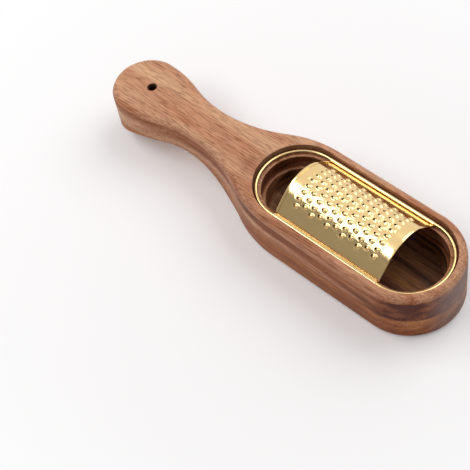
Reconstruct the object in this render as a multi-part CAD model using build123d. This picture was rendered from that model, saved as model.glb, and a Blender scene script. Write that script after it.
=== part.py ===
from build123d import *
import math
import os

# A wooden box grater: two glued boards that form a handle and a stepped tray, and a brass insert
# that lifts out.
# +X runs from the handle to the tray, +Y across, +Z up. The origin lies under the middle of the
# whole length.

# Wooden body, seen from above
overall_length = 292.0
body_width = 72.0
tray_straight = 88.8
handle_end_radius = 24.8
neck_half_width = 15.0
shoulder_overlap = 3.3
neck_place_share = 0.4956
shoulder_turn_share = 0.57
bulb_turn_share = 0.5

# Wooden body, seen from the side
body_height = 42.0
lower_board_thickness = 19.5
top_edge_radius = 5.0
bottom_edge_radius = 3.5
arch_rise = 17.5
arch_crown_share = 0.3792
arch_tray_radius = 95.0
arch_blend_radius = 25.0
tip_lift = 0.54

# Tray: a recess for the insert, a second step and the pocket, each with round ends
recess_half_width = 30.4
recess_depth = 6.0
step_half_width = 25.4
step_depth = 10.3
pocket_half_width = 23.2
floor_thickness = 12.0
floor_edge_radius = 3.0
inner_edge_break = 0.4

# Hanging hole through the handle's end
hanging_hole_radius = 3.25
hanging_hole_from_tip = 30.5
hanging_hole_break = 0.6

# Wire loop of the insert
wire_radius = 1.2
wire_end_gap = 0.6
insert_seat_gap = 0.15
insert_side_gap = 0.35

# Sheet of the insert
sheet_thickness = 0.4
sheet_length = 85.0
sheet_offset = 0.5
crown_rise = 15.3
flank_angle = 42.0
hem_clearance = 0.05
hem_wrap_angle = 300.0
end_fold_width = 1.4
end_fold_thickness = 0.3
notch_length = 4.5

# Teeth: round holes in staggered rows, each with a hood raised behind it that opens towards the handle
tooth_radius = 1.9
tooth_height = 1.0
tooth_wall = 0.4
tooth_mouth = 0.2
tooth_hole_radius = 0.85
tooth_hole_offset = 0.75
tooth_pitch = 12.58
tooth_row_pitch = 2.46
long_row_teeth = 6
tooth_rows = 17

# How far every cutting shape runs past what it cuts
overrun = 2.0

# Places that follow from the sizes above
body_half_width = body_width / 2
tip_x = -overall_length / 2
tray_far_x = overall_length / 2 - body_half_width
tray_near_x = tray_far_x - tray_straight
tray_x = (tray_near_x + tray_far_x) / 2
handle_end_x = tip_x + handle_end_radius
shoulder_x = tray_near_x + shoulder_overlap
neck_x = tip_x + neck_place_share * (shoulder_x - tip_x)
arch_x = tip_x + arch_crown_share * (tray_near_x - tip_x)
hanging_hole_x = tip_x + hanging_hole_from_tip
ledge_z = body_height - recess_depth
step_z = ledge_z - step_depth
hem_radius = wire_radius + hem_clearance + sheet_thickness / 2
hem_outer_radius = hem_radius + sheet_thickness / 2
wire_z = ledge_z + insert_seat_gap + hem_outer_radius
wire_y = recess_half_width - insert_side_gap - hem_outer_radius
sheet_x = tray_x + sheet_offset


def between(start, end, share):
    """The point at a share of the way from start to end."""
    return tuple(a + share * (b - a) for a, b in zip(start, end))


def s_curve(start, end, share):
    """Two tangent arcs from start to end, level at both ends, that meet at a share of the chord."""
    turn = between(start, end, share)
    return [TangentArc(start, turn, tangent=(1, 0, 0)), TangentArc(end, turn, tangent=(-1, 0, 0))]


def stadium(half_width, height):
    """A block with round ends over the tray's middle line, standing on the plane z=0."""
    plan = Pos(tray_x, 0) * SlotCenterToCenter(tray_straight, half_width * 2)
    return extrude(plan, height)


def plan_face():
    """The body's outline from above: round handle end, waist, shoulders and round tray end."""
    bulb = (handle_end_x, handle_end_radius, 0)
    neck = (neck_x, neck_half_width, 0)
    shoulder = (shoulder_x, body_half_width, 0)
    tray_end = (tray_far_x, body_half_width, 0)
    side = s_curve(bulb, neck, bulb_turn_share)
    side += s_curve(neck, shoulder, shoulder_turn_share)
    side.append(Line(shoulder, tray_end))
    other_side = [edge.mirror(Plane.XZ) for edge in side]
    other_tray_end = (tray_far_x, -body_half_width, 0)
    handle_end = ThreePointArc((handle_end_x, -handle_end_radius, 0), (tip_x, 0, 0), bulb)
    tray_round = ThreePointArc(tray_end, (overall_length / 2, 0, 0), other_tray_end)
    return Face(Wire([handle_end, *side, tray_round, *other_side]))


def arch_cutter():
    """The finger arch under the handle, as the shape cut away.

    Two arcs leave one crown: the left one comes down just above the base at the tip, and the right one
    runs into a blend to the base.
    """
    crown = (arch_x, 0, arch_rise)
    tray_centre_z = arch_rise - arch_tray_radius
    reach = arch_tray_radius + arch_blend_radius
    blend_run = math.sqrt(reach**2 - (arch_blend_radius - tray_centre_z) ** 2)
    blend_x = arch_x + blend_run
    share = arch_tray_radius / reach
    touch = (arch_x + share * blend_run, 0, tray_centre_z + share * (arch_blend_radius - tray_centre_z))
    touch_slope = (touch[2] - tray_centre_z, 0, -share * blend_run)
    tip_drop = arch_rise - tip_lift
    tip_radius = ((arch_x - tip_x) ** 2 + tip_drop**2) / (2 * tip_drop)
    run = arch_x - tip_x + overrun
    tip_point = (arch_x - run, 0, arch_rise - tip_radius + math.sqrt(tip_radius**2 - run**2))
    edges = [
        TangentArc(crown, tip_point, tangent=(-1, 0, 0)),
        Line(tip_point, (tip_point[0], 0, -overrun)),
        Line((tip_point[0], 0, -overrun), (blend_x, 0, -overrun)),
        Line((blend_x, 0, -overrun), (blend_x, 0, 0)),
        TangentArc(touch, (blend_x, 0, 0), tangent=touch_slope),
        TangentArc(crown, touch, tangent=(1, 0, 0)),
    ]
    return extrude(Face(Wire(edges)), amount=body_width, dir=(0, 1, 0), both=True)


def blank():
    """The two boards as one block, with the arch cut and all outer edges rounded."""
    block = extrude(plan_face(), body_height, dir=(0, 0, 1)) - arch_cutter()
    edges = block.edges()
    top = edges.group_by(Axis.Z)[-1]
    flat_across = edges.filter_by(Axis.Y)
    upright = edges.filter_by(Axis.Z)
    low = [edge for edge in edges if edge not in top and edge not in flat_across and edge not in upright]
    block = fillet(low, bottom_edge_radius)
    return fillet(block.edges().group_by(Axis.Z)[-1], top_edge_radius)


def tray_cutter():
    """Recess, step and pocket as one stepped cutting shape, with the pocket floor's edge rounded."""
    recess = Pos(0, 0, ledge_z) * stadium(recess_half_width, recess_depth + overrun)
    step = Pos(0, 0, step_z) * stadium(step_half_width, step_depth + overrun)
    pocket = Pos(0, 0, floor_thickness) * stadium(pocket_half_width, step_z - floor_thickness + overrun)
    pocket = fillet(pocket.edges().group_by(Axis.Z)[0], floor_edge_radius)
    return pocket + step + recess


def break_edges(block, z, reach):
    """Breaks the closed inner edges that lie at height z within reach of the tray's middle line."""
    inner = [
        edge
        for edge in block.edges()
        if abs(edge.bounding_box().min.Z - z) < inner_edge_break / 10
        and abs(edge.bounding_box().max.Z - z) < inner_edge_break / 10
        and abs(edge.bounding_box().max.Y) < reach
        and abs(edge.bounding_box().min.Y) < reach
        and edge.center().X > tray_near_x - reach
    ]
    return fillet(inner, inner_edge_break)


def hanging_hole():
    """The hole through the handle's end, with its upper edge broken."""
    shaft = Cylinder(hanging_hole_radius, body_height * 2)
    flare = hanging_hole_break * 2
    mouth = Cone(hanging_hole_radius, hanging_hole_radius + flare, flare)
    return Pos(hanging_hole_x, 0) * (shaft + Pos(0, 0, body_height) * mouth)


def wooden_body():
    """The finished body before it is parted along the glue line."""
    block = blank() - tray_cutter()
    edges_to_break = (
        (body_height, recess_half_width),
        (ledge_z, step_half_width),
        (step_z, pocket_half_width),
    )
    for z, half_width in edges_to_break:
        block = break_edges(block, z, half_width + inner_edge_break)
    return block - hanging_hole()


def make_boards():
    """Upper and lower board, glued face to face."""
    glue_plane = Plane.XY.offset(lower_board_thickness)
    body = wooden_body()
    upper = split(body, bisect_by=glue_plane, keep=Keep.TOP)
    lower = split(body, bisect_by=glue_plane, keep=Keep.BOTTOM)
    return upper, lower


def make_wire_loop():
    """Round wire bent to a long loop, its two ends butting at the middle of the far side."""
    ends = [(tray_x + side * wire_end_gap / 2, wire_y, wire_z) for side in (1, -1)]
    far = [(tray_far_x, side * wire_y, wire_z) for side in (1, -1)]
    near = [(tray_near_x, side * wire_y, wire_z) for side in (1, -1)]
    path = Wire(
        [
            Line(ends[0], far[0]),
            ThreePointArc(far[0], (tray_far_x + wire_y, 0, wire_z), far[1]),
            Line(far[1], near[1]),
            ThreePointArc(near[1], (tray_near_x - wire_y, 0, wire_z), near[0]),
            Line(near[0], ends[1]),
        ]
    )
    section = Plane(origin=ends[0], z_dir=(1, 0, 0)) * Circle(wire_radius)
    return sweep(section, path=path)


class Arch:
    """The sheet's middle surface across its length: a round crown and two flat flanks to the hems."""

    angle = math.radians(flank_angle)
    normal = (math.sin(angle), math.cos(angle))
    along = (math.cos(angle), -math.sin(angle))
    foot = (wire_y - hem_radius * normal[0], wire_z - hem_radius * normal[1])
    crown_z = wire_z + crown_rise
    crown_radius = (normal[0] * foot[0] + normal[1] * (foot[1] - crown_z)) / (1 - normal[1])
    centre_z = crown_z - crown_radius
    half_arc = crown_radius * angle
    bend = (crown_radius * normal[0], centre_z + crown_radius * normal[1])
    flank_length = math.hypot(foot[0] - bend[0], foot[1] - bend[1])

    @classmethod
    def place(cls, distance):
        """Y, Z and the outward tilt in degrees at a distance from the crown line, along the sheet."""
        side = math.copysign(1, distance)
        run = abs(distance)
        if run <= cls.half_arc:
            tilt = run / cls.crown_radius
            y = cls.crown_radius * math.sin(tilt)
            z = cls.centre_z + cls.crown_radius * math.cos(tilt)
        else:
            tilt = cls.angle
            y = cls.bend[0] + (run - cls.half_arc) * cls.along[0]
            z = cls.bend[1] + (run - cls.half_arc) * cls.along[1]
        return side * y, z, side * math.degrees(tilt)

    @classmethod
    def flank_points(cls, offset, side, short=0):
        """The ends of one flank at an offset outwards, with its foot cut short by a length."""
        foot = (cls.foot[0] - short * cls.along[0], cls.foot[1] - short * cls.along[1])
        points = []
        for y, z in (cls.bend, foot):
            points.append((0, side * (y + offset * cls.normal[0]), z + offset * cls.normal[1]))
        return points


def hem_arc(radius, side):
    """Start, middle and end of one wrap of the hem round the wire, from the flank's foot outwards."""
    start = math.atan2(-Arch.normal[1], -Arch.normal[0])
    points = []
    for share in (0, 0.5, 1):
        angle = start + share * math.radians(hem_wrap_angle)
        points.append((0, side * (wire_y + radius * math.cos(angle)), wire_z + radius * math.sin(angle)))
    return points


def arch_section(inner, outer, hems):
    """The face across the sheet between two offsets from its middle surface, with or without hems."""
    edges = []
    short = 0 if hems else hem_outer_radius + end_fold_thickness
    for offset in (outer, -inner):
        left = Arch.flank_points(offset, -1, short)
        right = Arch.flank_points(offset, 1, short)
        edges.append(ThreePointArc(left[0], (0, 0, Arch.crown_z + offset), right[0]))
        edges.append(Line(*left))
        edges.append(Line(*right))
    for side in (-1, 1):
        if hems:
            near_wire = hem_arc(hem_radius - outer, side)
            away = hem_arc(hem_radius + inner, side)
            edges.append(ThreePointArc(*near_wire))
            edges.append(ThreePointArc(*away))
            edges.append(Line(near_wire[-1], away[-1]))
        else:
            outer_foot = Arch.flank_points(outer, side, short)[1]
            inner_foot = Arch.flank_points(-inner, side, short)[1]
            edges.append(Line(outer_foot, inner_foot))
    return Face(Wire(edges))


def sheet_run(section, start_x, length):
    """A section of the sheet carried along X."""
    return Pos(start_x, 0, 0) * extrude(section, amount=length, dir=(1, 0, 0))


def tooth_places():
    """Where the teeth stand: long and short rows by turns, each half a pitch out from the one before."""
    places = []
    middle_row = (tooth_rows - 1) / 2
    for row in range(tooth_rows):
        y, z, tilt = Arch.place((row - middle_row) * tooth_row_pitch)
        count = long_row_teeth - row % 2
        for number in range(count):
            x = sheet_x + (number - (count - 1) / 2) * tooth_pitch
            places.append(Location((x, y, z), (-tilt, 0, 0)))
    return places


def tooth_shapes():
    """One hood to add, and its hollow with the hole before it to cut, about the middle surface."""
    centre_drop = tooth_radius - tooth_height - sheet_thickness / 2
    width = tooth_radius * 2
    behind_mouth = Pos(-tooth_mouth, 0, 0) * Box(
        width, width, width * 2, align=(Align.MIN, Align.CENTER, Align.CENTER)
    )
    above_sheet = Box(width, width, width, align=(Align.CENTER, Align.CENTER, Align.MIN))
    hood = Pos(0, 0, -centre_drop) * Sphere(tooth_radius) & behind_mouth & above_sheet
    hollow = Pos(0, 0, -centre_drop) * Sphere(tooth_radius - tooth_wall) & behind_mouth
    hole = Pos(-tooth_hole_offset, 0, 0) * Cylinder(tooth_hole_radius, width)
    return hood, hollow + hole


def make_grater_sheet():
    """The arched sheet with its hems, folded ends, notch and teeth."""
    half = sheet_thickness / 2
    start_x = sheet_x - sheet_length / 2
    sheet = sheet_run(arch_section(half, half, True), start_x, sheet_length)
    fold = arch_section(-half, half + end_fold_thickness, False)
    for x in (start_x, start_x + sheet_length - end_fold_width):
        sheet += sheet_run(fold, x, end_fold_width)
    hem_width = hem_outer_radius * 2
    from_wire_out = (Align.CENTER, Align.MIN, Align.CENTER)
    notch = Box(notch_length, hem_width, hem_width, align=from_wire_out)
    sheet -= Pos(tray_x, wire_y, wire_z) * notch
    hood, hollow = tooth_shapes()
    places = tooth_places()
    sheet += [place * hood for place in places]
    sheet -= [place * hollow for place in places]
    return sheet


def write_parts():
    """Writes each piece to its own file."""
    upper, lower = make_boards()
    pieces = {
        "upper_board": upper,
        "lower_board": lower,
        "wire_loop": make_wire_loop(),
        "grater_sheet": make_grater_sheet(),
    }
    os.makedirs("parts", exist_ok=True)
    for name, piece in pieces.items():
        export_step(piece, f"parts/{name}.step")


write_parts()
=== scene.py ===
import logging
import math
from dataclasses import dataclass, field
from enum import Enum

import bmesh
import bpy
from mathutils import Euler, Matrix, Vector


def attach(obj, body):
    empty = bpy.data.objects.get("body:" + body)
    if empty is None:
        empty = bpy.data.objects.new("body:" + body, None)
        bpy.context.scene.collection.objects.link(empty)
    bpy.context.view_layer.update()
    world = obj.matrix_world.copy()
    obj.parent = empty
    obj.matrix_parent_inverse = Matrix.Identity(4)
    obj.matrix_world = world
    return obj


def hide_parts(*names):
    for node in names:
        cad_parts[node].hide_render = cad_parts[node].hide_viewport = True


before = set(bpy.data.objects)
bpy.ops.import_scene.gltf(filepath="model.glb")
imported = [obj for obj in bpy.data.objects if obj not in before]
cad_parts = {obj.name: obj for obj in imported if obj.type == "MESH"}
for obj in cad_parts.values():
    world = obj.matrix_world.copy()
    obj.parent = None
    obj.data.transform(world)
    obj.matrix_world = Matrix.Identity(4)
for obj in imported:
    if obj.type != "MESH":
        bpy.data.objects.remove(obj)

LOG = logging.getLogger("grater")

Tree = bpy.types.NodeTree
Node = bpy.types.Node
Socket = bpy.types.NodeSocket
Shape = bmesh.types.BMesh
Vert = bmesh.types.BMVert
Edge = bmesh.types.BMEdge
Face = bmesh.types.BMFace
Pair = tuple[float, float]
Triple = tuple[float, float, float]
Tones = tuple[str, str, str, str]
# From and to along what is measured, and then what is given at the two.
Range = tuple[float, float, float, float]

SMOOTH = {"interpolation_type": "SMOOTHSTEP"}
WHITE = (1.0, 1.0, 1.0, 1.0)
NOISE_SPAN = (0.3, 0.7)  # Nearly all of a noise's values lie between these.
SAME_POINT = 1e-6  # Points nearer than this are one. All lengths are in metres.
SLACK = 1e-5  # How far off a point may be from the place where it is looked for.


class Body(Enum):
    """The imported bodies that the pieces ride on."""

    WOOD = "body"
    INSERT = "insert"


class Slot(Enum):
    """The record's material slots."""

    HEARTWOOD = "heartwood"
    SAPWOOD = "sapwood"
    WIRE = "brass_wire"
    SHEET = "brass_sheet"


def linear(colour: str) -> tuple[float, float, float, float]:
    """Turns an sRGB hex colour to linear values.

    Args:
        colour: The colour as #rrggbb.

    Returns:
        Red, green, blue and an alpha of 1.
    """
    channels = []
    for start in (1, 3, 5):
        value = int(colour[start : start + 2], 16) / 255
        channels.append(value / 12.92 if value <= 0.04045 else ((value + 0.055) / 1.055) ** 2.4)
    return (channels[0], channels[1], channels[2], 1.0)


def add_node(
    tree: Tree,
    kind: str,
    inputs: dict[str | int, object] | tuple[object, ...] = (),
    stops: tuple[tuple[float, str], ...] = (),
    **settings: object,
) -> Node:
    """Adds one shader node, sets its properties, and sets or links its inputs.

    Args:
        tree: The node tree that gets the node.
        kind: The node's type name after "ShaderNode".
        inputs: What each input gets, by its name or number or in order: a value, the output socket
            to link, or a node, which links the first of its outputs that is in use.
        stops: A colour ramp's positions, each with its sRGB hex colour, from low to high.
        settings: The node's properties and their values.

    Returns:
        The new node.
    """
    node = tree.nodes.new(f"ShaderNode{kind}")
    for name, value in settings.items():
        setattr(node, name, value)
    for number, (position, colour) in enumerate(stops):
        elements = node.color_ramp.elements
        stop = elements[number] if number < len(elements) else elements.new(position)
        stop.position = position
        stop.color = linear(colour)
    for key, value in (inputs if isinstance(inputs, dict) else dict(enumerate(inputs))).items():
        if isinstance(value, Node):
            value = next(output for output in value.outputs if output.enabled)
        if isinstance(value, Socket):
            tree.links.new(value, node.inputs[key])
        else:
            node.inputs[key].default_value = value
    return node


def emptied_tree(owner: bpy.types.Material | bpy.types.World) -> Tree:
    """Switches on the nodes of a material or world, and takes out those that it starts with.

    Args:
        owner: The material or world.

    Returns:
        Its empty node tree.
    """
    owner.use_nodes = True
    owner.node_tree.nodes.clear()
    return owner.node_tree


def box(node: str) -> tuple[Vector, Vector]:
    """Gives the lowest and the highest corner of a CAD node's box."""
    places = [vert.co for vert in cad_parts[node].data.vertices]
    return Vector(map(min, zip(*places))), Vector(map(max, zip(*places)))


UPPER_LOW, UPPER_HIGH = box("upper_board")
WIRE_LOW, WIRE_HIGH = box("wire_loop")
SHEET_LOW, SHEET_HIGH = box("grater_sheet")
TRAY_MIDDLE = (WIRE_LOW.x + WIRE_HIGH.x) / 2
INSET = 0.00003  # The dressed sheet stays this far inside the solid's ends.


@dataclass(frozen=True)
class Grain:
    """A noise whose blotches are drawn out along X, as wood grows and as a sheet is rolled.

    The length and the width are those of a blotch, in metres. The shift keeps the noises of one
    piece apart: it is the share of the piece's seed by which this one is moved.
    """

    length: float
    width: float
    detail: float = 2.0
    roughness: float = 0.5
    shift: float = 1.0

    def lay(self, tree: Tree, place: Socket | Node, seed: float = 0.0) -> Node:
        """Lays the noise over a piece.

        Args:
            tree: The node tree to add to.
            place: The point's place in metres.
            seed: How many blotches along the noise the piece lies.

        Returns:
            The noise.
        """
        counts = (1 / self.length, 1 / self.width, 1 / self.width)
        start = (self.shift * seed, 0.0, 0.0)
        drawn = add_node(tree, "Mapping", {"Vector": place, "Scale": counts, "Location": start})
        look = {"Scale": 1.0, "Detail": self.detail, "Roughness": self.roughness}
        return add_node(tree, "TexNoise", {"Vector": drawn, **look})


@dataclass(frozen=True)
class Spot:
    """Where in a board a point lies in metres, as outputs in the board's node tree.

    from_tray is its distance from the tray's middle line, seen from above, and drift is how far the
    growth strays from its plain form there.
    """

    tree: Tree
    place: Socket
    x: Socket
    z: Socket
    from_tray: Node
    drift: Node


@dataclass(frozen=True, kw_only=True)
class OiledWalnut:
    """Walnut heartwood or sapwood, planed, sanded and oiled.

    The eye sees long tone bands that follow the growth rings, fine dark pores drawn out along the
    board, and a satin surface that only shines at a low angle. The routed pocket takes darker
    tones, and the cut end of the board gets a painted grey sheen.
    """

    name: str
    seed: float

    # Tones from the darkest growth to the palest, and the growth values at which they lie.
    outside: Tones
    outside_stops: tuple[float, ...] = (0.1, 0.22, 0.36, 0.52)
    inside: Tones = ("#2e1c14", "#66442f", "#8c6243", "#ab7a47")
    inside_stops: tuple[float, ...] = (0.2, 0.27, 0.35, 0.45)

    # The rings lie round a line along the board, which is given in Y and Z. A blotch of their noise
    # takes in three rings of 4.2 mm, and its finer octaves part them.
    ring_centre: Pair
    ring_start: float
    ring_width: float = 0.0042
    rings_in_blotch: int = 3
    ring_detail: float = 3.0
    ring_share: float = 0.46

    # The growth strays from round rings, has broad bands along the board, and is paler towards the
    # handle.
    drift: Grain = Grain(0.143, 0.0455)
    drift_reach: float = 0.022
    bands: Grain = Grain(0.2, 0.0091, detail=1.0)
    band_share: float = 0.38
    band_shift: float = -0.17
    pale_handle: Range = (-0.11, 0.0, 0.04, 0.0)

    # Walnut's pores are 0.1 to 0.2 mm wide and its fibres much finer. The pores are drawn 0.6 mm
    # wide and the fibres 0.9 mm, so that they show.
    fibres: Grain = Grain(0.0375, 0.000875, roughness=0.6, shift=0.8)
    fibre_share: float = 0.2
    fibre_tone: Pair = (0.88, 1.12)
    pores: Grain = Grain(0.009375, 0.000625, detail=1.0, shift=1.6)
    pore_cover: Range = (0.36, 0.5, 0.5, 0.0)
    pore_colour: str = "#6a3322"
    pore_dent: float = 0.35
    pore_depth: float = 0.0003

    # The oil leaves a satin with soft clouds of two casts, as shares of red, green and blue.
    clouds: Grain = Grain(0.0357, 0.01333, shift=3.0)
    pink_cast: Triple = (1.06, 0.97, 0.93)
    tan_cast: Triple = (0.94, 1.03, 1.07)
    roughness: float = 0.42
    shine: float = 0.12

    # The dark growth lies under one soft border and over another. It rises along the handle, gets
    # wider downwards along the tray, and fills the tray's end outside.
    dark_under: Range
    dark_over: Range
    dark_drift: float = 0.2
    dark_rise: Range = (-0.12, 0.0, -0.0035, 0.0)
    dark_wider: Range = (0.03, 0.12, 0.0, 0.006)
    dark_end: Pair = (0.085, 0.125)
    dark_end_rise: float
    dark_outside: Pair = (0.0305, 0.033)

    # The painted grey sheen on the cut end: its tone, how far it reaches in along the board, and
    # how it stops at the top edge.
    painted_end_sheen: str
    painted_end_sheen_reach: Range = (0.138, 0.148, 0.0, 0.52)
    painted_end_sheen_top: Pair = (UPPER_HIGH.z - 0.0015, UPPER_HIGH.z - 0.0035)

    # The tray's middle line runs along X, and the pocket is its innermost part.
    tray_middle: float = TRAY_MIDDLE
    tray_half_straight: float = 0.0444
    pocket_half_width: float = 0.0235
    pocket_floor: float = 0.0118

    # The hanging hole's wall, the glue at the joint, and the painted shade on the routed walls and
    # their creases: the tone there as a share of the wood's own. A routed wall has its distance
    # from the tray's middle line, its bottom and its top.
    hole_middle: float = -0.1155
    hole_radius: float = 0.0034
    hole_tone: float = 0.2
    joint_height: float = UPPER_LOW.z
    joint_tone: Range = (0.0, 0.0004, 0.45, 1.0)
    routed_walls: tuple[Triple, ...] = ((0.0304, 0.0358, 0.0416), (0.0254, 0.0256, 0.0358))
    wall_shade_reach: float = 0.00025
    wall_shade_tone: float = 0.6

    def material(self) -> bpy.types.Material:
        """Builds the material on Object coordinates, as a solid pattern through the whole board.

        Returns:
            The new material.
        """
        material = bpy.data.materials.new(self.name)
        tree = emptied_tree(material)
        spot = self.locate(tree)
        fibres = self.fibres.lay(tree, spot.place, self.seed)
        pores = self.pores.lay(tree, spot.place, self.seed)
        clouds = self.clouds.lay(tree, spot.place, self.seed)
        growth = self.growth(spot, fibres)
        outer = add_node(tree, "ValToRGB", (growth,), tuple(zip(self.outside_stops, self.outside)))
        inner = add_node(tree, "ValToRGB", (growth,), tuple(zip(self.inside_stops, self.inside)))
        covered = add_node(tree, "MapRange", (pores, *self.pore_cover), **SMOOTH)
        tone = outer
        for share, colour in (
            (self.inside_pocket(spot), inner),
            (covered, linear(self.pore_colour)),
        ):
            tone = add_node(tree, "Mix", {0: share, 6: tone, 7: colour}, data_type="RGBA")
        level = add_node(tree, "MapRange", (fibres, *NOISE_SPAN, *self.fibre_tone))
        # The routed walls' darkening is painted shade.
        for mark in (self.drilled(spot), self.glued(spot), *self.painted_wall_shade(spot)):
            level = add_node(tree, "Math", (level, mark), operation="MULTIPLY")
        toned = add_node(tree, "VectorMath", {0: tone, "Scale": level}, operation="SCALE")
        casts = {0: clouds, 6: (*self.pink_cast, 1.0), 7: (*self.tan_cast, 1.0)}
        cast = add_node(tree, "Mix", casts, data_type="RGBA", clamp_factor=False)
        grained = add_node(tree, "VectorMath", (toned, cast), operation="MULTIPLY")
        # The cut end's grey is a painted sheen, mixed over the grain.
        ends = {0: self.painted_end_sheen_share(spot), 6: grained, 7: linear(self.painted_end_sheen)}
        sheened_tone = add_node(tree, "Mix", ends, data_type="RGBA")
        dents = {"Strength": self.pore_dent, "Distance": self.pore_depth, "Height": covered}
        shader = add_node(
            tree,
            "BsdfPrincipled",
            {
                "Base Color": sheened_tone,
                "Roughness": self.roughness,
                "Specular IOR Level": self.shine,
                "Normal": add_node(tree, "Bump", dents, invert=True),
            },
        )
        add_node(tree, "OutputMaterial", {"Surface": shader})
        return material

    def locate(self, tree: Tree) -> Spot:
        """Finds where in the board a point lies.

        Args:
            tree: The board's node tree.

        Returns:
            The point's place, and what the pattern measures from it.
        """
        place = add_node(tree, "TexCoord").outputs["Object"]
        x, y, z = add_node(tree, "SeparateXYZ", (place,)).outputs
        from_middle = add_node(tree, "Math", (x, self.tray_middle), operation="SUBTRACT")
        along = add_node(tree, "Math", (from_middle,), operation="ABSOLUTE")
        past = add_node(tree, "Math", (along, self.tray_half_straight), operation="SUBTRACT")
        past_straight = add_node(tree, "Math", (past, 0.0), operation="MAXIMUM")
        reach = add_node(tree, "CombineXYZ", (past_straight, y))
        from_tray = add_node(tree, "VectorMath", (reach,), operation="LENGTH")
        wander = self.drift.lay(tree, place, self.seed).outputs["Color"]
        size = (0.0, self.drift_reach, self.drift_reach)
        start = (0.0, -self.drift_reach / 2, -self.drift_reach / 2)
        drift = add_node(tree, "VectorMath", (wander, size, start), operation="MULTIPLY_ADD")
        return Spot(tree, place, x, z, from_tray, drift)

    def growth(self, spot: Spot, fibres: Node) -> Node:
        """Adds up the growth from its rings, bands, fibres and darker layer.

        Args:
            spot: Where the point lies.
            fibres: The noise of the fibres.

        Returns:
            The growth value, which a ramp turns to a tone.
        """
        tree = spot.tree
        centre = (0.0, -self.ring_centre[0], -self.ring_centre[1])
        flattened = (spot.place, (0.0, 1.0, 1.0), centre)
        across = add_node(tree, "VectorMath", flattened, operation="MULTIPLY_ADD")
        bent = add_node(tree, "VectorMath", (across, spot.drift), operation="ADD")
        radius = add_node(tree, "VectorMath", (bent,), operation="LENGTH")
        started = add_node(tree, "Math", (radius, self.ring_start), operation="ADD")
        scale = 1 / (self.ring_width * self.rings_in_blotch)
        ringed = {"W": started, "Scale": scale, "Detail": self.ring_detail}
        rings = add_node(tree, "TexNoise", ringed, noise_dimensions="1D")
        drifted = add_node(tree, "VectorMath", (spot.place, spot.drift), operation="ADD")
        bands = self.bands.lay(tree, drifted, self.seed)
        x = add_node(tree, "SeparateXYZ", (drifted,)).outputs["X"]
        banded = (bands, self.band_share, self.band_shift)
        total = add_node(tree, "Math", banded, operation="MULTIPLY_ADD")
        paler_handle = add_node(tree, "MapRange", (x, *self.pale_handle), **SMOOTH)
        for shift in (paler_handle, self.dark_growth(spot)):
            total = add_node(tree, "Math", (total, shift), operation="ADD")
        for noise, share in ((rings, self.ring_share), (fibres, self.fibre_share)):
            total = add_node(tree, "Math", (noise, share, total), operation="MULTIPLY_ADD")
        return total

    def dark_growth(self, spot: Spot) -> Node:
        """Lays the dark growth: a thin layer along the board, which fills its tray end outside.

        Args:
            spot: Where the point lies.

        Returns:
            The shift of the growth value, 0 where the growth is plain.
        """
        tree = spot.tree
        drifting = (spot.drift, (self.dark_drift,) * 3, spot.place)
        drifted = add_node(tree, "VectorMath", drifting, operation="MULTIPLY_ADD")
        x, _, z = add_node(tree, "SeparateXYZ", (drifted,)).outputs
        rise = add_node(tree, "MapRange", (x, *self.dark_rise))
        height = add_node(tree, "Math", (z, rise), operation="ADD")
        towards_end = add_node(tree, "MapRange", (x, *self.dark_end), **SMOOTH)
        outside = add_node(tree, "MapRange", (spot.from_tray, *self.dark_outside), **SMOOTH)
        at_end = add_node(tree, "Math", (towards_end, outside), operation="MULTIPLY")
        raising = (at_end, -self.dark_end_rise, height)
        raised = add_node(tree, "Math", raising, operation="MULTIPLY_ADD")
        under = add_node(tree, "MapRange", (raised, *self.dark_under), **SMOOTH)
        widening = add_node(tree, "MapRange", (x, *self.dark_wider))
        lowered = add_node(tree, "Math", (height, widening), operation="ADD")
        over = add_node(tree, "MapRange", (lowered, *self.dark_over), **SMOOTH)
        filled = add_node(tree, "Math", (over, at_end), operation="MAXIMUM")
        return add_node(tree, "Math", (under, filled), operation="MULTIPLY")

    def inside_pocket(self, spot: Spot) -> Node:
        """Finds the pocket's floor and wall, which take darker tones than the outside.

        Args:
            spot: Where the point lies.

        Returns:
            1 inside the pocket and 0 elsewhere.
        """
        tree = spot.tree
        near = (spot.from_tray, self.pocket_half_width)
        within = add_node(tree, "Math", near, operation="LESS_THAN")
        above = add_node(tree, "Math", (spot.z, self.pocket_floor), operation="GREATER_THAN")
        return add_node(tree, "Math", (within, above), operation="MULTIPLY")

    def drilled(self, spot: Spot) -> Node:
        """Darkens the wall of the hanging hole.

        Args:
            spot: Where the point lies.

        Returns:
            The tone, 1 away from the hole.
        """
        tree = spot.tree
        moved = (spot.place, (1.0, 1.0, 0.0), (-self.hole_middle, 0.0, 0.0))
        from_axis = add_node(tree, "VectorMath", moved, operation="MULTIPLY_ADD")
        distance = add_node(tree, "VectorMath", (from_axis,), operation="LENGTH")
        within = add_node(tree, "Math", (distance, self.hole_radius), operation="LESS_THAN")
        return add_node(tree, "Math", (within, self.hole_tone - 1, 1.0), operation="MULTIPLY_ADD")

    def glued(self, spot: Spot) -> Node:
        """Darkens a hair's breadth of wood at the joint, where the glue soaked in.

        Args:
            spot: Where the point lies.

        Returns:
            The tone, 1 away from the joint.
        """
        tree = spot.tree
        from_joint = add_node(tree, "Math", (spot.z, self.joint_height), operation="SUBTRACT")
        distance = add_node(tree, "Math", (from_joint,), operation="ABSOLUTE")
        return add_node(tree, "MapRange", (distance, *self.joint_tone), **SMOOTH)

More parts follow.
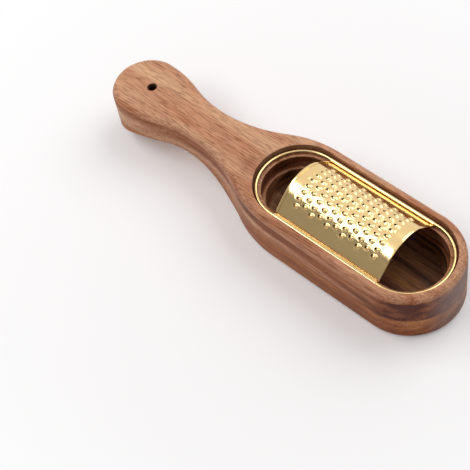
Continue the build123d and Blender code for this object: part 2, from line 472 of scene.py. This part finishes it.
    def painted_wall_shade(self, spot: Spot) -> list[Node]:
        """Darkens the recess's and the step's walls and their creases with the ledges: painted
        shade.

        Args:
            spot: Where the point lies.

        Returns:
            One tone for each wall, 1 away from it.
        """
        tree = spot.tree
        tones = []
        for radius, bottom, top in self.routed_walls:
            beside = (spot.from_tray, radius, self.wall_shade_reach)
            on_wall = add_node(tree, "Math", beside, operation="COMPARE")
            level = (spot.z, (bottom + top) / 2, (top - bottom) / 2)
            at_height = add_node(tree, "Math", level, operation="COMPARE")
            both = add_node(tree, "Math", (on_wall, at_height), operation="MULTIPLY")
            # Painted shade on the wall and in its crease.
            shading = (both, self.wall_shade_tone - 1, 1.0)
            tones.append(add_node(tree, "Math", shading, operation="MULTIPLY_ADD"))
        return tones

    def painted_end_sheen_share(self, spot: Spot) -> Node:
        """Gives the share of the painted grey sheen on the cut end, below the top edge."""
        reach = add_node(spot.tree, "MapRange", (spot.x, *self.painted_end_sheen_reach), **SMOOTH)
        return add_node(spot.tree, "MapRange", (spot.z, *self.painted_end_sheen_top, 0.0, reach))


@dataclass(frozen=True)
class PolishedBrass:
    """Yellow brass, rolled, plated and polished.

    The eye sees a warm mirror that is slightly soft along the rolling direction, and a darker,
    duller one on the hems, painted shade that dims the reflections in their grooves.
    """

    name: str
    colour: str
    roughness: float
    # Rolling marks are hundredths of a millimetre wide. They are drawn 1.1 mm wide, so that they
    # show, and change the gloss by these shares of its roughness.
    marks: Grain = Grain(0.0167, 0.00111)
    mark_gloss: Pair = (0.8, 1.25)

    def material(self) -> bpy.types.Material:
        """Builds the material on Object coordinates.

        Returns:
            The new material.
        """
        material = bpy.data.materials.new(self.name)
        tree = emptied_tree(material)
        place = add_node(tree, "TexCoord").outputs["Object"]
        marks = self.marks.lay(tree, place)
        rough = [self.roughness * share for share in self.mark_gloss]
        gloss = add_node(tree, "MapRange", (marks, *NOISE_SPAN, *rough))
        look = {"Base Color": linear(self.colour), "Metallic": 1.0, "Roughness": gloss}
        shader = add_node(tree, "BsdfPrincipled", look)
        add_node(tree, "OutputMaterial", {"Surface": shader})
        return material


def settle(piece: bpy.types.Object, body: Body, slot: Slot, *nodes: str) -> None:
    """Ties a finished piece to its body and lets it stand for its CAD nodes.

    Args:
        piece: The finished piece.
        body: The body that it rides on.
        slot: The record slot that it takes its finish from. Not used.
        nodes: The CAD nodes that it stands for.
    """
    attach(piece, body.value)
    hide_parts(*nodes)
    LOG.info("%s: %d faces", piece.name, len(piece.data.polygons))


def as_object(shape: Shape, name: str) -> bpy.types.Object:
    """Makes a shape an object at the origin.

    Args:
        shape: The shape, which is freed.
        name: The new object's name.

    Returns:
        The new object, linked to the scene.
    """
    mesh = bpy.data.meshes.new(name)
    shape.to_mesh(mesh)
    shape.free()
    made = bpy.data.objects.new(name, mesh)
    bpy.context.scene.collection.objects.link(made)
    return made


def finished(shape: Shape, name: str, sharp_angle: float) -> bpy.types.Object:
    """Smooths a shape but for its sharp edges and makes it an object.

    Args:
        shape: The shape, which is freed.
        name: The new piece's name.
        sharp_angle: Edges that turn by more than this many degrees stay sharp.

    Returns:
        The new object, linked to the scene.
    """
    limit = math.radians(sharp_angle)
    for face in shape.faces:
        face.smooth = True
    for edge in shape.edges:
        edge.smooth = len(edge.link_faces) == 2 and edge.calc_face_angle() < limit
    return as_object(shape, name)


def merged_copy(node: str, name: str, sharp_angle: float) -> bpy.types.Object:
    """Copies a CAD node and joins its loose triangles.

    Args:
        node: The CAD node to copy.
        name: The new piece's name.
        sharp_angle: Edges that turn by more than this many degrees stay sharp.

    Returns:
        The new object, linked to the scene.
    """
    shape = bmesh.new()
    shape.from_mesh(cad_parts[node].data)
    bmesh.ops.remove_doubles(shape, verts=shape.verts, dist=SAME_POINT)
    return finished(shape, name, sharp_angle)


@dataclass
class WoodenBody:
    """Two boards glued face to face, shaped as one handle and tray."""

    upper: OiledWalnut = OiledWalnut(
        name="oiled_walnut_heartwood",
        seed=1.3,
        outside=("#5a2a1e", "#a05f38", "#c88f6e", "#deae88"),
        ring_centre=(0.035, -0.098),
        ring_start=0.1,
        dark_under=(0.0345, 0.0365, -0.24, 0.0),
        dark_over=(0.0255, 0.0295, 0.0, 0.65),
        dark_end_rise=0.003,
        # The cut end's tone is a painted grey sheen.
        painted_end_sheen="#b39a93",
    )
    # The sapwood's dark growth lies at its foot, so its second border is below the board.
    lower: OiledWalnut = OiledWalnut(
        name="oiled_walnut_sapwood",
        seed=11.7,
        outside=("#5e2b1a", "#9a5630", "#c27e4c", "#d89a66"),
        ring_centre=(-0.06, 0.09),
        ring_start=0.03,
        dark_under=(0.0, 0.018, -0.16, 0.0),
        dark_over=(-0.02, -0.01, 0.0, 1.0),
        dark_end_rise=0.0,
        # The cut end's tone is a painted grey sheen.
        painted_end_sheen="#857b7c",
    )
    sharp_angle: float = 28.0

    def build(self) -> None:
        """Makes and dresses both boards."""
        for node, finish, slot in (
            ("upper_board", self.upper, Slot.HEARTWOOD),
            ("lower_board", self.lower, Slot.SAPWOOD),
        ):
            piece = merged_copy(node, f"oiled_{node}", self.sharp_angle)
            piece.data.materials.append(finish.material())
            settle(piece, Body.WOOD, slot, node)


@dataclass(frozen=True)
class Tooth:
    """One tooth as the punch leaves it: a round hole whose far rim is drawn up into a long hood."""

    hole_radius: float = 0.00088
    hole_offset: float = 0.00095
    height: float = 0.00085
    crest: float = 0.0003
    front_reach: float = 0.00058
    back_reach: float = 0.0019
    side_reach: float = 0.00072
    dish_depth: float = 0.00008
    dish_length: float = 0.0026
    dish_width: float = 0.0016
    dish_edge: float = 0.3

    def lift(self, along: float, across: float) -> float:
        """Works out how far the sheet stands out at a point near the tooth.

        The hood falls off softly to the front and sides, and late and steeply at its back.

        Args:
            along: The point's distance from the tooth's place towards the tray.
            across: Its distance across the sheet.

        Returns:
            The height above the plain sheet, below 0 in the shallow dish round the hood.
        """
        run = along - self.crest
        if run > 0:
            ridge = math.exp(-((run / self.back_reach) ** 4))
        else:
            ridge = math.exp(-0.5 * (run / self.front_reach) ** 2)
        hood = ridge * math.exp(-0.5 * (across / self.side_reach) ** 2)
        ring = math.hypot(run / self.dish_length, across / self.dish_width) - 1
        dish = math.exp(-0.5 * (ring / self.dish_edge) ** 2)
        return self.height * hood - self.dish_depth * dish


@dataclass
class GratingSheet:
    """The arched sheet: teeth pressed into a flat blank, then bent and hemmed round the wire.

    The blank lies in X (along), Y (across) and Z (out of the sheet) until it is bent.
    """

    tooth: Tooth = Tooth()
    middle_x: float = (SHEET_LOW.x + SHEET_HIGH.x) / 2
    half_length: float = (SHEET_HIGH.x - SHEET_LOW.x) / 2 - INSET
    thickness: float = 0.00036  # A hair under the solid's 0.4 mm.
    wire_y: float = 0.0284
    wire_z: float = (WIRE_LOW.z + WIRE_HIGH.z) / 2
    crown_z: float = 0.0531
    hem_radius: float = 0.00145
    hem_wrap: float = 300.0
    hem_steps: int = 20
    hem_finish: int = 1  # The hem's place among the piece's finishes.
    flank_angle: float = 42.0
    column_pitch: float = 0.00629
    row_pitch: float = 0.00246
    columns: int = 11
    long_column_teeth: int = 9
    cell_segments: int = 8
    tooth_rings: int = 7
    margin_steps: int = 6
    foot_steps: int = 2
    # The run and the rise of a fold's first eighth of a turn, as shares of its radius.
    fold_turn: Pair = (0.71, 0.29)
    fold_width: float = 0.0014
    fold_rise: float = 0.0004
    fold_short: float = 0.00195
    notch_middle_x: float = TRAY_MIDDLE
    notch_half_length: float = 0.00225
    sharp_angle: float = 32.0

    def __post_init__(self) -> None:
        """Works out the arch's section from the wire, the crown and the flank's angle."""
        angle = math.radians(self.flank_angle)
        self.normal = (math.sin(angle), math.cos(angle))
        foot = (
            self.wire_y - self.hem_radius * self.normal[0],
            self.wire_z - self.hem_radius * self.normal[1],
        )
        drop = self.normal[0] * foot[0] + self.normal[1] * (foot[1] - self.crown_z)
        self.crown_radius = drop / (1 - self.normal[1])
        self.centre_z = self.crown_z - self.crown_radius
        self.half_arc = self.crown_radius * angle
        self.bend = (
            self.crown_radius * self.normal[0],
            self.centre_z + self.crown_radius * self.normal[1],
        )
        self.foot_y = foot[0]
        flank = math.hypot(foot[0] - self.bend[0], foot[1] - self.bend[1])
        self.half_width = self.half_arc + flank

    def tooth_cell(self) -> Shape:
        """Makes one rectangle of sheet with its tooth, about the tooth's place.

        Returns:
            The rectangle, with as many points round the hole as along its border.
        """
        shape = bmesh.new()
        half_x, half_y = self.column_pitch / 2, self.row_pitch
        bmesh.ops.create_grid(
            shape,
            x_segments=self.cell_segments,
            y_segments=self.cell_segments,
            size=1,
            matrix=Matrix.Diagonal((half_x, half_y, 1, 1)),
        )
        inner = [vert for vert in shape.verts if not vert.is_boundary]
        bmesh.ops.delete(shape, geom=inner, context="VERTS")
        bmesh.ops.create_circle(
            shape,
            segments=self.cell_segments * 4,
            radius=self.tooth.hole_radius,
            matrix=Matrix.Translation((-self.tooth.hole_offset, 0, 0)),
        )
        bridged = bmesh.ops.bridge_loops(shape, edges=shape.edges[:])
        bmesh.ops.subdivide_edges(shape, edges=bridged["edges"], cuts=self.tooth_rings - 1)
        for vert in shape.verts:
            if abs(vert.co.x) < half_x - SLACK and abs(vert.co.y) < half_y - SLACK:
                vert.co.z = self.tooth.lift(vert.co.x, vert.co.y)
        return shape

    def plain_patch(self, shape: Shape, middle: Pair, segments: tuple[int, int]) -> None:
        """Adds a plain patch whose edge points meet those of the cells.

        Args:
            shape: The blank that gets the patch.
            middle: The patch's middle.
            segments: Its faces along and across.
        """
        half = (
            self.column_pitch / self.cell_segments * segments[0] / 2,
            self.row_pitch * 2 / self.cell_segments * segments[1] / 2,
        )
        bmesh.ops.create_grid(
            shape,
            x_segments=segments[0],
            y_segments=segments[1],
            size=1,
            matrix=Matrix.Translation((*middle, 0)) @ Matrix.Diagonal((*half, 1, 1)),
        )

    def toothed_field(self) -> Shape:
        """Lays the cells in staggered columns, and fills the short columns' ends.

        Returns:
            The flat field of teeth.
        """
        shape = self.tooth_cell()
        first = shape.verts[:]
        cell = [*first, *shape.edges, *shape.faces]
        for column in range(self.columns):
            x = (column - (self.columns - 1) / 2) * self.column_pitch
            count = self.long_column_teeth - column % 2
            for row in range(count):
                y = (row - (count - 1) / 2) * self.row_pitch * 2
                copy = bmesh.ops.duplicate(shape, geom=cell)["geom"]
                moved = [item for item in copy if isinstance(item, Vert)]
                bmesh.ops.translate(shape, verts=moved, vec=(x, y, 0))
            if column % 2:
                for side in (-1, 1):
                    y = side * (count + 0.5) * self.row_pitch
                    self.plain_patch(shape, (x, y), (self.cell_segments, self.cell_segments // 2))
        bmesh.ops.delete(shape, geom=first, context="VERTS")
        bmesh.ops.remove_doubles(shape, verts=shape.verts, dist=SLACK)
        return shape

    def border(self, shape: Shape, axis: int, at: float, limit: float = math.inf) -> list[Edge]:
        """Finds the border edges at one place along an axis.

        Args:
            shape: The sheet.
            axis: 0 for X, 1 for Y.
            at: The edges' place along the axis.
            limit: Edges further than this from the middle along the other axis are left out.

        Returns:
            The edges.
        """
        return [
            edge
            for edge in shape.edges
            if edge.is_boundary
            and all(abs(vert.co[axis] - at) < SLACK for vert in edge.verts)
            and all(abs(vert.co[1 - axis]) < limit + SLACK for vert in edge.verts)
        ]

    def widen(
        self, shape: Shape, axis: int, start: float, steps: list[Pair], limit: float = math.inf
    ) -> None:
        """Draws both outer edges of the blank outwards along one axis.

        Args:
            shape: The blank.
            axis: 0 for the ends, 1 for the sides.
            start: How far from the middle the edges lie.
            steps: Each step's run outwards and its rise out of the sheet.
            limit: Edges further than this from the middle along the other axis stay as they are.
        """
        for side in (-1, 1):
            edges = self.border(shape, axis, side * start, limit)
            for run, rise in steps:
                made = bmesh.ops.extrude_edge_only(shape, edges=edges)["geom"]
                verts = [item for item in made if isinstance(item, Vert)]
                drawn = [item for item in made if isinstance(item, Edge) and item.is_boundary]
                edges = [edge for edge in drawn if set(edge.verts) <= set(verts)]
                move = [0.0, 0.0, rise]
                move[axis] = side * run
                bmesh.ops.translate(shape, verts=verts, vec=move)

    def blank(self) -> Shape:
        """Makes the flat blank with its teeth, its plain margins and its folded ends.

        Returns:
            The blank.
        """
        shape = self.toothed_field()
        bend = self.fold_rise / 2
        end = self.half_length - bend - self.thickness / 2
        fold_side = self.half_width - self.fold_short
        field_end = self.columns * self.column_pitch / 2
        field_side = self.long_column_teeth * self.row_pitch
        for axis, start, stop, count in (
            (0, field_end, end, self.margin_steps),
            (1, field_side, fold_side, self.margin_steps),
            (1, fold_side, self.half_width, self.foot_steps),
        ):
            self.widen(shape, axis, start, [((stop - start) / count, 0)] * count)
        first, second = (bend * share for share in self.fold_turn)
        over = [(first, second), (second, first), (-second, first), (-first, second)]
        self.widen(shape, 0, end, [*over, (-self.fold_width, 0)], fold_side)
        return shape

    def bend_over(self, shape: Shape) -> None:
        """Bends the flat blank over the arch's section.

        Args:
            shape: The blank.
        """
        for vert in shape.verts:
            side = math.copysign(1, vert.co.y)
            run = abs(vert.co.y)
            if run <= self.half_arc:
                tilt = run / self.crown_radius
                normal = (math.sin(tilt), math.cos(tilt))
                y = self.crown_radius * normal[0]
                z = self.centre_z + self.crown_radius * normal[1]
            else:
                normal = self.normal
                y = self.bend[0] + (run - self.half_arc) * normal[1]
                z = self.bend[1] - (run - self.half_arc) * normal[0]
            rise = vert.co.z
            vert.co = (
                self.middle_x + vert.co.x,
                side * (y + rise * normal[0]),
                z + rise * normal[1],
            )

    def hem(self, shape: Shape, side: int) -> None:
        """Rolls one foot of the sheet round the wire, and gives it the hem's finish.

        Args:
            shape: The bent sheet.
            side: 1 for the far side, -1 for the near one.
        """
        edges = self.border(shape, 1, side * self.foot_y)
        before = set(shape.faces)
        bmesh.ops.spin(
            shape,
            geom=edges + list({vert for edge in edges for vert in edge.verts}),
            axis=(1, 0, 0),
            cent=(0, side * self.wire_y, self.wire_z),
            steps=self.hem_steps,
            angle=side * math.radians(self.hem_wrap),
        )
        rolled = [face for face in shape.faces if face not in before]
        # The hem's finish is the darker brass of painted shade.
        for face in rolled:
            face.material_index = self.hem_finish
        if side > 0:
            self.notch(shape, rolled)

    def notch(self, shape: Shape, hem: list[Face]) -> None:
        """Cuts the small notch in the far hem, where the wire's ends meet.

        Args:
            shape: The bent sheet.
            hem: The faces of the far hem.
        """
        start, stop = (self.notch_middle_x + end * self.notch_half_length for end in (-1, 1))
        for place, normal in (
            ((start, 0, 0), (1, 0, 0)),
            ((stop, 0, 0), (1, 0, 0)),
            ((0, self.wire_y, 0), (0, 1, 0)),
        ):
            around = {item for face in hem for item in (*face.verts, *face.edges)} | set(hem)
            cut = bmesh.ops.bisect_plane(
                shape, geom=list(around), dist=SAME_POINT, plane_co=place, plane_no=normal
            )
            hem = [item for item in cut["geom"] if isinstance(item, Face)]
        gone = []
        for face in hem:
            middle = face.calc_center_median()
            if start < middle.x < stop and middle.y > self.wire_y:
                gone.append(face)
        bmesh.ops.delete(shape, geom=gone, context="FACES")

    def build(self, name: str) -> bpy.types.Object:
        """Makes the sheet with its wall.

        Args:
            name: The new piece's name.

        Returns:
            The new object, linked to the scene.
        """
        shape = self.blank()
        self.bend_over(shape)
        for side in (-1, 1):
            self.hem(shape, side)
        bmesh.ops.recalc_face_normals(shape, faces=shape.faces)
        crown = max(shape.faces, key=lambda face: face.calc_center_median().z)
        if crown.normal.z < 0:
            bmesh.ops.reverse_faces(shape, faces=shape.faces)
        for vert in shape.verts:
            vert.co += vert.normal * self.thickness / 2
        bmesh.ops.solidify(shape, geom=shape.faces[:], thickness=self.thickness)
        return finished(shape, name, self.sharp_angle)


@dataclass
class Insert:
    """The lift-out insert: an arched sheet hemmed round a wire loop."""

    # The wire's brass is set darker than the sheet's: painted shade that dulls its reflections.
    wire: PolishedBrass = PolishedBrass("polished_brass_wire", "#dcbe86", 0.18)
    sheet: PolishedBrass = PolishedBrass("polished_brass_sheet", "#eccb90", 0.14)
    # The hem's darker, duller brass is painted shade over the groove's reflections.
    hem: PolishedBrass = PolishedBrass("shaded_brass_hem", "#d2bc90", 0.14)
    grating: GratingSheet = field(default_factory=GratingSheet)
    sharp_angle: float = 28.0

    def build(self) -> None:
        """Makes and dresses the loop and the sheet."""
        loop = merged_copy("wire_loop", "polished_wire_loop", self.sharp_angle)
        loop.data.materials.append(self.wire.material())
        settle(loop, Body.INSERT, Slot.WIRE, "wire_loop")
        sheet = self.grating.build("polished_grater_sheet")
        for finish in (self.sheet, self.hem):
            sheet.data.materials.append(finish.material())
        settle(sheet, Body.INSERT, Slot.SHEET, "grater_sheet")


@dataclass(frozen=True)
class Softbox:
    """One soft lamp: its power in watts, its length and width, and where it hangs."""

    name: str
    power: float
    size: Pair
    place: Triple


@dataclass
class Studio:
    """A white table under soft lamps, and the camera."""

    table_side: float = 8.0
    table_colour: str = "#f4f2f2"
    table_glow: float = 0.12
    table_fade: Pair = (0.1, 0.34)
    world_level: float = 0.26
    key: Softbox = Softbox("key_softbox", 12.0, (1.3, 1.3), (0.25, 0.95, 1.25))
    strip: Softbox = Softbox("strip_softbox", 9.4, (1.4, 0.45), (-0.6, -0.5, 1.16))
    lamp_target: Triple = (0.02, 0.0, 0.02)
    screen_radius: float = 1.6
    screen_length: float = 3.6
    screen_low: float = 4.0
    screen_high: float = 58.0
    screen_steps: int = 16
    screen_level: float = 0.36
    camera_place: Triple = (0.38331, -0.32719, 0.65744)
    camera_turn: Triple = (35.8, 7.467, 43.277)  # Degrees about X, Y and Z.
    camera_lens: float = 93.57
    camera_sensor: float = 36.0
    camera_clip: Pair = (0.01, 50.0)

    def table(self) -> None:
        """Lays the table of matt white paper, which fades to pure white away from the shadow.

        Its glow is for seen rays only, so that it brightens the paper and lights nothing else.
        """
        shape = bmesh.new()
        bmesh.ops.create_grid(shape, x_segments=1, y_segments=1, size=self.table_side / 2)
        top = as_object(shape, "white_table")
        material = bpy.data.materials.new("matt_white_paper")
        tree = emptied_tree(material)
        seen = self.seen_rays(tree)
        glow = add_node(tree, "Math", (seen, self.table_glow), operation="MULTIPLY")
        light = add_node(tree, "Emission", {"Color": WHITE, "Strength": glow})
        paper = add_node(tree, "BsdfDiffuse", {"Color": linear(self.table_colour)})
        both = add_node(tree, "AddShader", (paper, light))
        place = add_node(tree, "TexCoord").outputs["Object"]
        away = add_node(tree, "VectorMath", (place,), operation="LENGTH")
        far = add_node(tree, "MapRange", (away, *self.table_fade, 0.0, seen), **SMOOTH)
        white = add_node(tree, "Emission", {"Color": WHITE})
        faded = add_node(tree, "MixShader", (far, both, white))
        add_node(tree, "OutputMaterial", {"Surface": faded})
        top.data.materials.append(material)

    def seen_rays(self, tree: Tree) -> Node:
        """Finds the rays from the camera and those that gloss and glass send on.

        Args:
            tree: The node tree to add to.

        Returns:
            1 for such a ray and 0 for any other.
        """
        path = add_node(tree, "LightPath").outputs
        first = (path["Is Camera Ray"], path["Is Glossy Ray"])
        either = add_node(tree, "Math", first, operation="MAXIMUM")
        return add_node(tree, "Math", (either, path["Is Transmission Ray"]), operation="MAXIMUM")

    def world(self) -> None:
        """Lights the room evenly and shows it white to the camera and in gloss."""
        world = bpy.data.worlds.new("white_room")
        bpy.context.scene.world = world
        tree = emptied_tree(world)
        seen = self.seen_rays(tree)
        level = add_node(tree, "MapRange", (seen, 0.0, 1.0, self.world_level, 1.0))
        sky = add_node(tree, "Background", {"Color": WHITE, "Strength": level})
        add_node(tree, "OutputWorld", {"Surface": sky})

    def screen(self) -> None:
        """Stands a curved grey screen on the near side: painted shade seen only in reflections."""
        shape = bmesh.new()
        low, high = math.radians(self.screen_low), math.radians(self.screen_high)
        y, z = -self.screen_radius * math.cos(low), self.screen_radius * math.sin(low)
        ends = [shape.verts.new((side * self.screen_length / 2, y, z)) for side in (-1, 1)]
        bmesh.ops.spin(
            shape,
            geom=[*ends, shape.edges.new(ends)],
            axis=(1, 0, 0),
            cent=(0, 0, 0),
            steps=self.screen_steps,
            angle=low - high,
        )
        screen = as_object(shape, "grey_screen")
        material = bpy.data.materials.new("reflection_only_screen")
        tree = emptied_tree(material)
        # A dim glow that darkens what the brass reflects, a painted reflection of shade.
        dim_glow = add_node(tree, "Emission", {"Color": WHITE, "Strength": self.screen_level})
        add_node(tree, "OutputMaterial", {"Surface": dim_glow})
        screen.data.materials.append(material)
        for rays in ("camera", "diffuse", "shadow", "transmission", "volume_scatter"):
            setattr(screen, f"visible_{rays}", False)

    def hang(self, softbox: Softbox) -> None:
        """Hangs one soft lamp that faces the object.

        Args:
            softbox: The lamp.
        """
        data = bpy.data.lights.new(softbox.name, "AREA")
        data.energy = softbox.power
        data.shape = "RECTANGLE"
        data.size, data.size_y = softbox.size
        lamp = bpy.data.objects.new(softbox.name, data)
        lamp.location = softbox.place
        aim = Vector(self.lamp_target) - Vector(softbox.place)
        lamp.rotation_euler = aim.to_track_quat("-Z", "Y").to_euler()
        bpy.context.scene.collection.objects.link(lamp)

    def camera(self) -> None:
        """Sets the camera where the photograph was taken from."""
        data = bpy.data.cameras.new("camera")
        data.sensor_width = self.camera_sensor
        data.lens = self.camera_lens
        data.clip_start, data.clip_end = self.camera_clip
        camera = bpy.data.objects.new("camera", data)
        camera.location = self.camera_place
        camera.rotation_euler = Euler([math.radians(angle) for angle in self.camera_turn], "XYZ")
        bpy.context.scene.collection.objects.link(camera)
        bpy.context.scene.camera = camera

    def build(self) -> None:
        """Sets up the whole studio."""
        self.table()
        self.world()
        self.hang(self.key)
        self.hang(self.strip)
        self.screen()
        self.camera()
        bpy.context.scene.view_settings.view_transform = "Standard"


def main() -> None:
    """Builds the studio and the grater."""
    logging.basicConfig(level=logging.INFO, format="%(name)s: %(message)s")
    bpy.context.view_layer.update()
    for part in (Studio(), WoodenBody(), Insert()):
        LOG.info("building %s", type(part).__name__)
        part.build()


if __name__ == "__main__":
    main()
